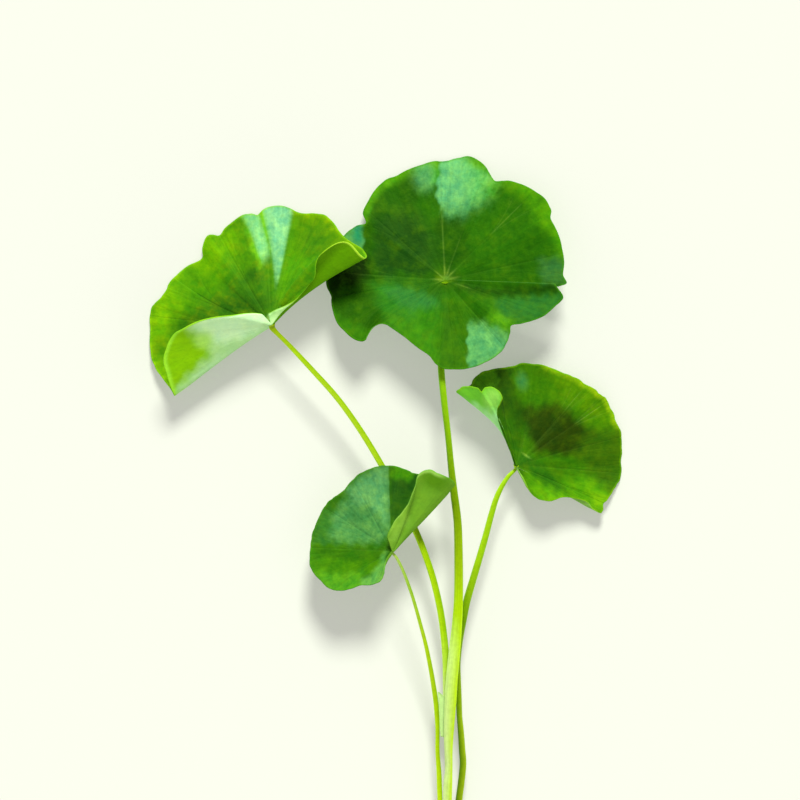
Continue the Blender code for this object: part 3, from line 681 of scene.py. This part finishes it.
right = blade(RIGHT_JOINT, RIGHT_RIM, RIGHT_BOWS, RIGHT_VEINS, ((-0.1, 0.29),), (0.14, 9, 2))
right_upper = layered(
    right, "3F7F08",
    ("569206", 0.95, area, 4, (31, 26), (38, 23.4), (43, 18), (43.6, 14), (39, 15), (35, 18), (31, 22)),
    # Painted shadow: the upper left is darkened where the middle leaf's lower lobe casts its shadow.
    ("2A530D", 0.95, area, 2.4, (15, 24.4), (18, 26.4), (21, 27), (22.6, 25.6), (22.6, 20), (22, 16.4),
        (20, 17), (20, 22), (14.8, 22.8)),
    ("5AA41C", 0.95, area, 1.8, (12.6, 22), (15, 26), (19.4, 27), (19.2, 22.6), (15, 22)),
    ("316A09", 0.8, area, 2.4, (20.8, 18), (24.6, 17), (25, 12), (23.6, 9.6), (20.8, 14)),
    # Painted shade: the dark heart of the dished middle, over the leaf's brownish tone.
    ("294308", 1, area, 2.8, (23, 19), (27, 18.6), (30.6, 19.4), (33.4, 18), (36.2, 15.4), (39.4, 13.2),
        (39.6, 10.6), (35.4, 9), (31.4, 9), (26.8, 9.8), (25.8, 13), (24.2, 16)),
    ("3E6C0A", 0.9, area, 3.6, (37.4, 14), (44.4, 14), (44.4, 6), (41.4, 1.6), (38, 5.6), (35, 9.4)),
    ("5CA60A", 0.95, area, 3.2, (25, 6), (27, 3.6), (32, 3.4), (37, 4.8), (41, 2.6), (42.4, 0), (40, -3),
        (35, -1), (29.6, -1), (25.4, 2)),
    ("6DB808", 0.7, area, 2, (27, 2.6), (31, 2.4), (31, -0.6), (27.4, -0.2)),
    # Painted shade: the valley from the joint towards the lower lobe.
    ("2F7410", 0.9, area, 1.8, (23.2, 10.4), (26.6, 8.2), (31.2, 4.6), (33, 1.8), (30.6, 2), (27, 4.8),
        (24, 7.2)),
    ("7ABC0A", 0.9, area, 1.8, (38.4, 2), (41.2, 0.6), (41.4, -1.6), (39.8, -3), (38, -1.4)),
    ("2A580A", 0.7, area, 2.4, (22.2, 23), (24, 20.6), (25.2, 16.6), (23.4, 14), (21.6, 17)),
    # Painted sheen: a faint blue-green reflection of the sky.
    ("4B9644", 0.9, spot, (24.4, 23.8), (1.8, 2.9), 10),
    ("7DB23C", 1, spot, (25.2, 8.9), (1.6, 0.34), -35),
    ("9CCB10", 1, rim_band, 0.93, 0.44, 0.66),
)
right["pale"] += 0.26 * stretch(right, 6, 0.62, 0.94) + 0.18 * stretch(right, 5, 0.66, 0.93)
right["pale"] *= 0.7
right_under = layered(
    right, "82B64E",
    ("76D236", 1, panel, -0.2, (-0.1, 0.305), (-0.1, 0.305), 0.03),
    ("96E05A", 1, spot, (18.6, 20.2), (3, 3.6), 0, 0.8),
    ("B4F8A2", 1, area, 2.4, (12, 20), (15, 19.4), (18, 17.6), (19.6, 18.4), (21, 13.6), (18.6, 13)),
    ("3F7A0A", 1, panel, -0.2, (-0.1, 0.2), (-0.1, 0.085), 0.02, 0.96),
)
finish_piece(
    blade_object("right_leaf_blade", right, right_upper, right_under),
    leaf_skin("right leaf skin", 2, "A8CC50", "5FB080", "446A06", "86C40C"), "leaf_right",
)

# The small leaf's blade in front, young and dished, blue-green with a greyish painted sheen. Its right
# basal lobe is folded over the blade, and its petiole joins it at the notch.
SMALL_JOINT = (-1.7, -10.1, 13)
SMALL_RIM = (
    (-3.1, -14.4, 13.3), (-3.5, -15.6, 13.2), (-4.3, -16.3, 13.1), (-5.9, -16.8, 12.7), (-8, -16.9, 12.3),
    (-10.2, -17.7, 11.9), (-12.2, -18, 11.4), (-14.2, -17.5, 10.8), (-15.8, -16, 10.1),
    (-17.1, -14.5, 9.5), (-17.9, -13.1, 8.9), (-18, -11.2, 8.3), (-17.8, -9, 7.8), (-17.4, -6.6, 7.6),
    (-16.6, -4.4, 7.6), (-15.7, -2.4, 7.8), (-14.4, -0.5, 8), (-12.8, 0.8, 8.3), (-11.3, 1.9, 8.6),
    (-10, 3.4, 8.9), (-8.4, 5, 9.2), (-6.6, 6, 9.5), (-4.6, 6.7, 9.8), (-2.8, 6.9, 10), (-0.6, 6.7, 10.3),
    (1.4, 6, 10.6), (3.2, 5.2, 10.9), (5.6, 5.3, 11.4), (8, 4.4, 12), (10, 3.4, 12.8), (10.9, 3.1, 13.8),
    (10.4, 4.1, 14.8), (9.2, 4.8, 15.6), (7.4, 5.5, 16.2), (5.8, 6.1, 16.6), (4.3, 5.6, 17),
    (3.3, 4.7, 17.2), (2.9, 3.2, 17.4), (2.3, 1.4, 17.3), (1.7, -0.6, 17), (0.4, -2.4, 16.6),
    (-1, -3.9, 16), (-2.1, -5.8, 15.2), (-2.6, -7.2, 14.6), (-2.1, -8.8, 13.8),
)
SMALL_BOWS = (
    (0, -0.5, 0.2, 0), (0.06, -0.2, 0.1, -0.4), (0.2, 0, 0, -1), (0.55, 0, 0, -1.4),
    (0.8, 0.3, -0.3, -0.5), (1, 0, 0, 0),
)
SMALL_VEINS = (2.6, 7, 11.8, 15.5, 19.4, 23.3, 27.3, 32, 37, 41.5)

small = blade(SMALL_JOINT, SMALL_RIM, SMALL_BOWS, SMALL_VEINS, ((0.70, 1.1),), (0.12, 8, 0.2))
small_upper = layered(
    small, "3A7C12",
    ("40862A", 0.9, area, 2.6, (-17, -3), (-11, -0.6), (-9.4, -8.6), (-17.4, -9)),
    ("2E6416", 1, area, 1.6, (-2, 7), (3.6, 6), (3.4, 2), (-0.4, -4), (-2, -4)),
    ("4E9E10", 0.95, area, 1.8, (-1.6, 7.6), (3.4, 6.8), (2.2, 3.8), (-1.8, 4.6)),
    # Painted shade: darker under the left edge of the folded lobe.
    ("255E12", 0.9, area, 1.6, (1, 2), (3.4, 5.4), (3.2, 3), (1.6, -1), (-0.6, -4.4), (-1.4, -3)),
    ("468C0C", 1, area, 0.9, (-18, -9), (-3, -9), (-3.4, -18), (-18.4, -18)),
    ("34740C", 0.8, area, 1.6, (-17, -9.2), (-3, -9), (-3.4, -11.4), (-9, -12.4), (-16.6, -10.8)),
    ("70BA4A", 1, area, 1.4, (-8, -16.4), (-4.6, -13.4), (-2.8, -10.2), (-2.6, -14), (-4, -17.4),
        (-8, -17.6)),
    ("5CB022", 0.8, area, 2.2, (-16.4, -14.4), (-12, -14.8), (-7.6, -14.2), (-8, -18.4), (-14.6, -18.4)),
)
# Painted sheen: greyish blue-green between two veins on the upper left, the sky's reflection on the waxy
# skin.
small["bloom"] = panel(small, -0.2, (0.266, 0.5285), (0.266, 0.5285), 0.006) * np.maximum(
    0.80 * area(small, 4, (-10.4, 2.6), (-6, 6), (-2.1, 7.4), (-2.1, -6.4), (-4.4, -3.4), (-7, -1.6),
        (-10.2, -1.4)),
    0.42 * area(small, 3, (-14.4, -8), (-13.8, -3), (-11, 1), (-2.1, 2), (-2.1, -7.6), (-4.4, -8.8),
        (-10, -8.8)),
)
small_under = layered(
    small, "689C26",
    ("84B83A", 1, area, 2, (-2.8, -9.4), (-1.8, -5), (0.6, -2), (1.8, -3.6), (0, -6.4)),
    ("4E8012", 1, spot, (7, 4.2), (4.6, 3.2), -20, 0.8),
    ("A4D45C", 1, rim_band, 0.95, 0.72, 0.96),
)
finish_piece(
    blade_object("small_leaf_blade", small, small_upper, small_under),
    leaf_skin("small leaf skin", 3, "7FB060", "74C478", "3C6C10", "5AA022"), "leaf_small",
)

# The four petioles. Each is a juicy round stalk, finely ribbed, that widens into its blade at one end and
# sits in the crown at the other.
STEM_RINGS = 300
STEM_SIDES = 28
STEM_RIBS = 7
STEM_RIB_DEPTH = 0.035
STEM_FLARE_LENGTH = 0.9
STEM_DEPTH_IN_CROWN = 1.6
STEM_SHEEN = (0.8, 1, 0.2, 1)
# Each petiole's middle line as X, Y and Z, and its radius.
LEFT_ROUTE = (
    (-25.4, 34.3, 8.6, 0.44), (-24.3, 33.1, 8.3, 0.42), (-21.7, 30.5, 8.2, 0.46), (-17.5, 26, 8.3, 0.52),
    (-12.5, 20.4, 8.3, 0.56), (-8.1, 14.3, 8, 0.58), (-4, 7.6, 7.5, 0.6), (-0.4, 1, 7.1, 0.62),
    (2.8, -5.4, 6.8, 0.65), (4.8, -10.2, 6.6, 0.65), (6.6, -15.6, 6.4, 0.65), (8, -21.6, 5.9, 0.66),
    (8.8, -27.2, 5.2, 0.68), (9.2, -32.4, 4.3, 0.7), (9.3, -38, 3.6, 0.7), (9.4, -44, 3.1, 0.68),
    (9.6, -52, 2.6, 0.66), (9.7, -60, 2.4, 0.66), (9.8, -66, 2.3, 0.68), (9.8, -68.6, 2.3, 0.7),
)
CENTRE_ROUTE = (
    (9, 43.2, 4.1, 0.5), (8.9, 41, 3.9, 0.62), (8.7, 37.6, 4.5, 0.66), (8.4, 33, 6.1, 0.68),
    (8.2, 27, 8, 0.67), (8.8, 20, 8.8, 0.65), (9.6, 13, 9.1, 0.62), (10.2, 6.8, 9.1, 0.65),
    (10.8, 1.4, 9, 0.75), (11.5, -4.4, 8.8, 0.8), (11.7, -11, 8.5, 0.85), (11.7, -19, 8.1, 0.9),
    (11.4, -25, 7.7, 1.02), (10.9, -30.2, 7.3, 1.16), (10.4, -35.6, 6.9, 1.18), (10.1, -40.4, 6.5, 1.18),
    (9.8, -45.6, 6, 1.02), (9.7, -49.6, 5.6, 0.84), (9.8, -53, 5.3, 0.71), (9.6, -56.4, 5, 0.86),
    (9.5, -60, 4.7, 0.88), (9.6, -66, 4.4, 0.86), (9.6, -68.6, 4.4, 0.84),
)
RIGHT_ROUTE = (
    (23, 6.1, 5.9, 0.26), (21.6, 4.7, 6.1, 0.4), (20.2, 2.5, 6.4, 0.5), (19.1, 0, 6.5, 0.55),
    (18.1, -3.4, 6.5, 0.6), (17.1, -7.2, 6.4, 0.63), (15.9, -11.4, 6.2, 0.67), (14.6, -15.8, 6, 0.71),
    (13.4, -20, 5.8, 0.74), (12.6, -24, 5.3, 0.72), (11.9, -28, 4.8, 0.68), (11.5, -32.4, 4.3, 0.62),
    (11.6, -36, 4.1, 0.6), (11.8, -40.6, 4.1, 0.58), (11.9, -43.2, 4, 0.56), (12.2, -46.6, 3.9, 0.62),
    (12.4, -49.6, 3.8, 0.65), (12.6, -52.8, 3.7, 0.67), (12.2, -56.8, 3.6, 0.67), (11.8, -60, 3.5, 0.67),
    (11.4, -66, 3.4, 0.68), (11.4, -68.6, 3.4, 0.68),
)
SMALL_ROUTE = (
    (-1.4, -10.6, 12.1, 0.24), (-0.6, -11.6, 12, 0.28), (0.6, -14, 11.7, 0.3), (1.9, -17.4, 11.1, 0.32),
    (2.9, -20.5, 10.5, 0.33), (4.1, -24.8, 9.6, 0.36), (5.1, -28.6, 8.7, 0.39), (6, -32.9, 7.7, 0.43),
    (6.7, -37, 6.8, 0.48), (7.2, -40.6, 6.1, 0.5), (7.5, -45.6, 5.4, 0.44), (7.5, -50, 4.9, 0.43),
    (7.8, -54.4, 4.5, 0.5), (7.9, -57.4, 4.2, 0.52), (8, -60.4, 3.9, 0.5), (8.1, -66, 3.3, 0.5),
    (8.1, -68.6, 3.3, 0.5),
)
# Each petiole's colours by the distance from its blade in millimetres: painted lit at left, painted shaded
# at right.
LEFT_COLOURS = (
    (0, "B0D21A", "86A200"), (8, "C8F81C", "8EB404"), (20, "CCF830", "96C004"), (58, "C4F410", "8AB600"),
    (72, "C8F818", "96C404"), (80, "D4FF58", "B4E024"), (87, "E8FFA8", "E0FF90"), (110, "F0FFC0", "E8FF98"),
)
CENTRE_COLOURS = (
    (0, "8CCC10", "80B408"), (20, "86CA0E", "98CE0E"), (46, "709604", "7AA004"), (58, "A0C80A", "9CC006"),
    (68, "BCEC14", "B8E400"), (76, "D8FF80", "C4F008"), (88, "DCFA98", "C4EE10"), (113, "DCF2A4", "C8EC38"),
)
RIGHT_COLOURS = (
    (0, "B0E41C", "90C40A"), (20, "AEDE14", "96CA0A"), (28, "86B408", "8EBC0C"), (34, "5E8A02", "76A404"),
    (46, "628A04", "8CAE0C"), (60, "5C8204", "9CBA14"), (78, "5E8404", "94B010"),
)
SMALL_COLOURS = (
    (0, "CCE880", "9CC030"), (8, "B8E450", "80B408"), (20, "CCF224", "A0C80C"), (34, "BEEA10", "8EB204"),
    (50, "D0F614", "A0C408"), (60, "E0FF24", "B8DC10"),
)


def tube_faces(grid):
    """The walls and the two ends of a tube from its points' numbers, a row for each ring."""
    following = np.roll(grid, -1, axis=1)
    walls = np.stack([grid[:-1], grid[1:], following[1:], following[:-1]], axis=-1)
    return walls.reshape(-1, 4).tolist() + [grid[0].tolist(), grid[-1, ::-1].tolist()]


def petiole(name, joint, route, flare):
    """A tube along the route from inside the blade to inside the crown.

    Its section's radius is the route's, plus flare times e to the minus of the distance from the blade over
    STEM_FLARE_LENGTH, and all of it times 1 plus STEM_RIB_DEPTH of a cosine STEM_RIBS times round.
    """
    start = (joint[0], joint[1], joint[2] - 0.2, route[0][3])
    end = (route[-1][0], route[-1][1] - STEM_DEPTH_IN_CROWN, route[-1][2], route[-1][3])
    line = through((start, *route, end), STEM_RINGS)
    place, radius = line[:, :3], line[:, 3]
    tangent = unit(np.gradient(place, axis=0))
    sideways = unit(np.cross(tangent, (0, 0, 1)))
    upward = np.cross(sideways, tangent)
    steps = np.linalg.norm(np.diff(place, axis=0), axis=1)
    along = np.concatenate([[0], np.cumsum(steps)])
    around = np.linspace(0, 2 * np.pi, STEM_SIDES, endpoint=False)
    reach = (radius + flare * np.exp(-along / STEM_FLARE_LENGTH))[:, None]
    reach = reach * (1 + STEM_RIB_DEPTH * np.cos(STEM_RIBS * around))
    points = (
        place[:, None]
        + sideways[:, None] * (reach * np.cos(around))[..., None]
        + upward[:, None] * (reach * np.sin(around))[..., None]
    )
    grid = np.arange(STEM_RINGS * STEM_SIDES).reshape(STEM_RINGS, STEM_SIDES)
    along, across = np.broadcast_arrays(along[:, None], np.cos(around))
    return placed_mesh(name, points.reshape(-1, 3), tube_faces(grid), {"along": along, "across": across})


def graded(tree, value, stops):
    """The colours at the given values, with straight changes between them."""
    length = stops[-1][0]
    node = tree.nodes.new("ShaderNodeValToRGB")
    marks = node.color_ramp.elements
    for _ in stops[2:]:
        marks.new(0.5)
    for mark, (place, code) in zip(marks, stops):
        mark.position = place / length
        mark.color = (*paint(code), 1)
    tree.links.new(calc(tree, "DIVIDE", value, length), node.inputs["Fac"])
    return node.outputs["Color"]


def petiole_skin(name, stops, shift):
    """Juicy stalk with fine streaks, graded along, painted lit at left, shaded at right, lighter at its
    sides.
    """
    material, tree, surface = new_material(name)
    along, across = attribute(tree, "along"), attribute(tree, "across")
    fine = noise(tree, 1300, 3, 0.6, shift)
    broad = noise(tree, 160, 2, 0.5, shift)
    strip = streaks(tree, across, along, 5, 0.12)
    # Painted light: the left side takes the lit colours and the right side the shaded ones.
    painted_lit_share = ramp(tree, weighted(tree, 0.25, (across, 0.62), (broad, 0.5)), 0, 1)
    painted_lit_colour, painted_shaded_colour = (graded(tree, along, [(stop[0], stop[at]) for stop in stops]) for at in (1, 2))
    skin = mix(tree, painted_lit_share, painted_shaded_colour, painted_lit_colour)
    # Painted light: lighter towards the outer edges, as where light shines through the stalk's sides.
    edge = calc(tree, "POWER", calc(tree, "ABSOLUTE", across), 4)
    shade = weighted(tree, 0.36, (edge, 0.34), (fine, 0.30), (strip, 0.42))
    feed(tree, surface.inputs, {
        "Base Color": filtered(tree, skin, shade), "Roughness": weighted(tree, 0.36, (fine, 0.2)),
        "Specular IOR Level": 0.15, "Specular Tint": STEM_SHEEN,
    })
    bumped(tree, surface, calc(tree, "ADD", fine, strip), 0.5, 0.0001)
    return material


for side, joint, route, flare, colours, shift, slot, node in (
    ("left", LEFT_JOINT, LEFT_ROUTE, 0.4, LEFT_COLOURS, 0, "stem", "stem_left"),
    ("centre", CENTRE_JOINT, CENTRE_ROUTE, 0.5, CENTRE_COLOURS, 1, "stem", "stem_centre"),
    ("right", RIGHT_JOINT, RIGHT_ROUTE, 0.3, RIGHT_COLOURS, 2, "stem_right", "stem_right"),
    ("small", SMALL_JOINT, SMALL_ROUTE, 0.08, SMALL_COLOURS, 3, "stem", "stem_small"),
):
    stem = petiole(side + "_petiole", joint, route, flare)
    finish_piece(stem, petiole_skin(side + " petiole skin", colours, shift), node)

# A thin pale sheath, the skin that joins the small petiole to its neighbour near their feet. It is grown
# together with both and hangs a little between them.
SHEATH_LEFT = ((7.5, -38.2, 5.9), (7.7, -40.6, 5.6), (7.8, -43.6, 5.3), (8.1, -47.2, 5))
SHEATH_RIGHT = ((7.8, -38.3, 5.8), (9, -39.6, 5.6), (9.1, -43, 5.3), (8.9, -47.4, 5))
SHEATH_THICKNESS = 0.12
SHEATH_SAG = 0.18
SHEATH_ROWS = 60
SHEATH_COLUMNS = 12
SHEATH_SHADE = 0.75


def sheath_object(name):
    """A thin sheet between two curves, straight across but for a sag of 4 SHEATH_SAG share (1 - share)."""
    left_edge, right_edge = (through(side, SHEATH_ROWS)[:, None] for side in (SHEATH_LEFT, SHEATH_RIGHT))
    share = np.linspace(0, 1, SHEATH_COLUMNS)[None, :, None]
    upper = left_edge * (1 - share) + right_edge * share
    upper[..., 2] -= SHEATH_SAG * 4 * share[..., 0] * (1 - share[..., 0])
    upper = upper.reshape(-1, 3)
    grid = np.arange(len(upper)).reshape(SHEATH_ROWS, SHEATH_COLUMNS)
    loop = np.concatenate([grid[0, :-1], grid[:-1, -1], grid[-1, :0:-1], grid[:0:-1, 0]])
    after = np.roll(loop, -1)
    top = np.stack([grid[:-1, :-1], grid[1:, :-1], grid[1:, 1:], grid[:-1, 1:]], axis=-1).reshape(-1, 4)
    edge = np.stack([loop, after, after + grid.size, loop + grid.size], axis=-1)
    faces = np.vstack([top, top[:, ::-1] + grid.size, edge]).tolist()
    return placed_mesh(name, np.vstack([upper, upper - (0, 0, SHEATH_THICKNESS)]), faces, {})


sheath = sheath_object("petiole_sheath")
sheath_skin, tree, surface = new_material("sheath skin")
film = mix(tree, noise(tree, 700), (*(SHEATH_SHADE * paint("BCDC84")), 1), "C4E890")
feed(tree, surface.inputs, {"Base Color": film, "Roughness": 0.5})
sheath.data.materials.append(sheath_skin)
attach(sheath, "root")

# The crown: the short swollen node that the four petioles grow from, wrapped in their sheaths, with the cut
# end of the runner that it grew on.
CROWN_X = 9.7
CROWN_STEPS = 80
CROWN_SIDES = 96
CROWN_SWELLING = 0.09
CROWN_RIB_DEPTH = 0.02
# Each ring as its Y, half its width, half its height and the height of its middle.
CROWN_RINGS = (
    (-68.4, 2.3, 1.8, 3.3), (-69, 2.6, 2.1, 3.3), (-70.6, 2.9, 2.6, 3.1), (-72.8, 3.1, 2.8, 3.05),
    (-75, 2.7, 2.6, 2.7), (-76.8, 2.1, 2.1, 2.2), (-77.8, 1.7, 1.7, 1.9),
)


def crown_object(name):
    """Oval rings along Y, closed at both ends.

    Their width and height are times 1 plus CROWN_SWELLING of a cosine four times round, for the feet of the
    petioles, plus CROWN_RIB_DEPTH of a cosine 22 times round, for the ribs.
    """
    line = through(CROWN_RINGS, CROWN_STEPS)
    around = np.linspace(0, 2 * np.pi, CROWN_SIDES, endpoint=False)
    swelling = 1 + CROWN_SWELLING * np.cos(4 * around) + CROWN_RIB_DEPTH * np.cos(22 * around)
    x = CROWN_X + line[:, 1:2] * swelling * np.cos(around)
    y = np.broadcast_to(line[:, :1], x.shape)
    z = line[:, 3:4] + line[:, 2:3] * swelling * np.sin(around)
    points = np.stack([x, y, z], axis=-1).reshape(-1, 3)
    grid = np.arange(len(points)).reshape(CROWN_STEPS, CROWN_SIDES)
    values = {"along": line[0, 0] - y, "across": np.broadcast_to(np.cos(around), x.shape)}
    return placed_mesh(name, points, tube_faces(grid[:, ::-1]), values)


crown = crown_object("crown_node")
# The two colours at each stop are painted light: lit on the left, shaded on the right.
crown_skin = petiole_skin("crown skin", ((0, "C8CC70", "A8AC58"), (10, "B0A860", "8C8444")), 4)
finish_piece(crown, crown_skin, "crown")

# The pale surface that the sprig lies on, soft studio light that comes from over the leaves, and the camera
# straight above. The sheet glows a little so that the shadows stay light.
FLOOR = 60
FLOOR_COLOUR = (0.482, 0.503, 0.414, 1)
FLOOR_GLOW = (0.285, 0.277, 0.274, 1)
SKY_LOW = (0.86, 0.87, 0.78, 1)
SKY_HIGH = (0.50, 0.50, 0.50, 1)
SUN_DIRECTION = (-0.10, -0.98, -1)
SUN_ENERGY = 4.1
SUN_ANGLE = 0.30
CAMERA_PLACE = (0.00285, 0.02455, 3)
CAMERA_LENS = 675

floor_mesh = bpy.data.meshes.new("pale_surface")
corners = [(x * FLOOR, y * FLOOR, 0) for x, y in ((-1, -1), (1, -1), (1, 1), (-1, 1))]
floor_mesh.from_pydata(corners, [], [(0, 1, 2, 3)])
floor = new_object("pale_surface", floor_mesh)
paper, tree, surface = new_material("pale paper")
feed(tree, surface.inputs, {
    "Base Color": FLOOR_COLOUR, "Roughness": 1, "Specular IOR Level": 0,
    "Emission Color": FLOOR_GLOW, "Emission Strength": 1,
})
floor_mesh.materials.append(paper)

world = bpy.data.worlds.new("studio")
world.use_nodes = True
sky = world.node_tree
direction = sky.nodes.new("ShaderNodeTexCoord")
parts = sky.nodes.new("ShaderNodeSeparateXYZ")
sky.links.new(direction.outputs["Generated"], parts.inputs[0])
glow = sky.nodes.new("ShaderNodeValToRGB")
for mark, height, colour in zip(glow.color_ramp.elements, (0.12, 0.36), (SKY_LOW, SKY_HIGH)):
    mark.position = height
    mark.color = colour
sky.links.new(parts.outputs["Z"], glow.inputs["Fac"])
strength = weighted(sky, 1, (parts.outputs["Y"], -0.75))
feed(sky, sky.nodes["Background"].inputs, {"Color": glow.outputs["Color"], "Strength": strength})
bpy.context.scene.world = world

key_data = bpy.data.lights.new("key", "SUN")
key_data.energy = SUN_ENERGY
key_data.angle = SUN_ANGLE
key = new_object("key", key_data)
key.rotation_euler = Vector(SUN_DIRECTION).to_track_quat("-Z", "Y").to_euler()

camera_data = bpy.data.cameras.new("camera")
camera_data.sensor_width = 36
camera_data.lens = CAMERA_LENS
camera_data.clip_end = 400
camera = new_object("camera", camera_data)
camera.location = CAMERA_PLACE
bpy.context.scene.camera = camera
bpy.context.scene.view_settings.view_transform = "Standard"
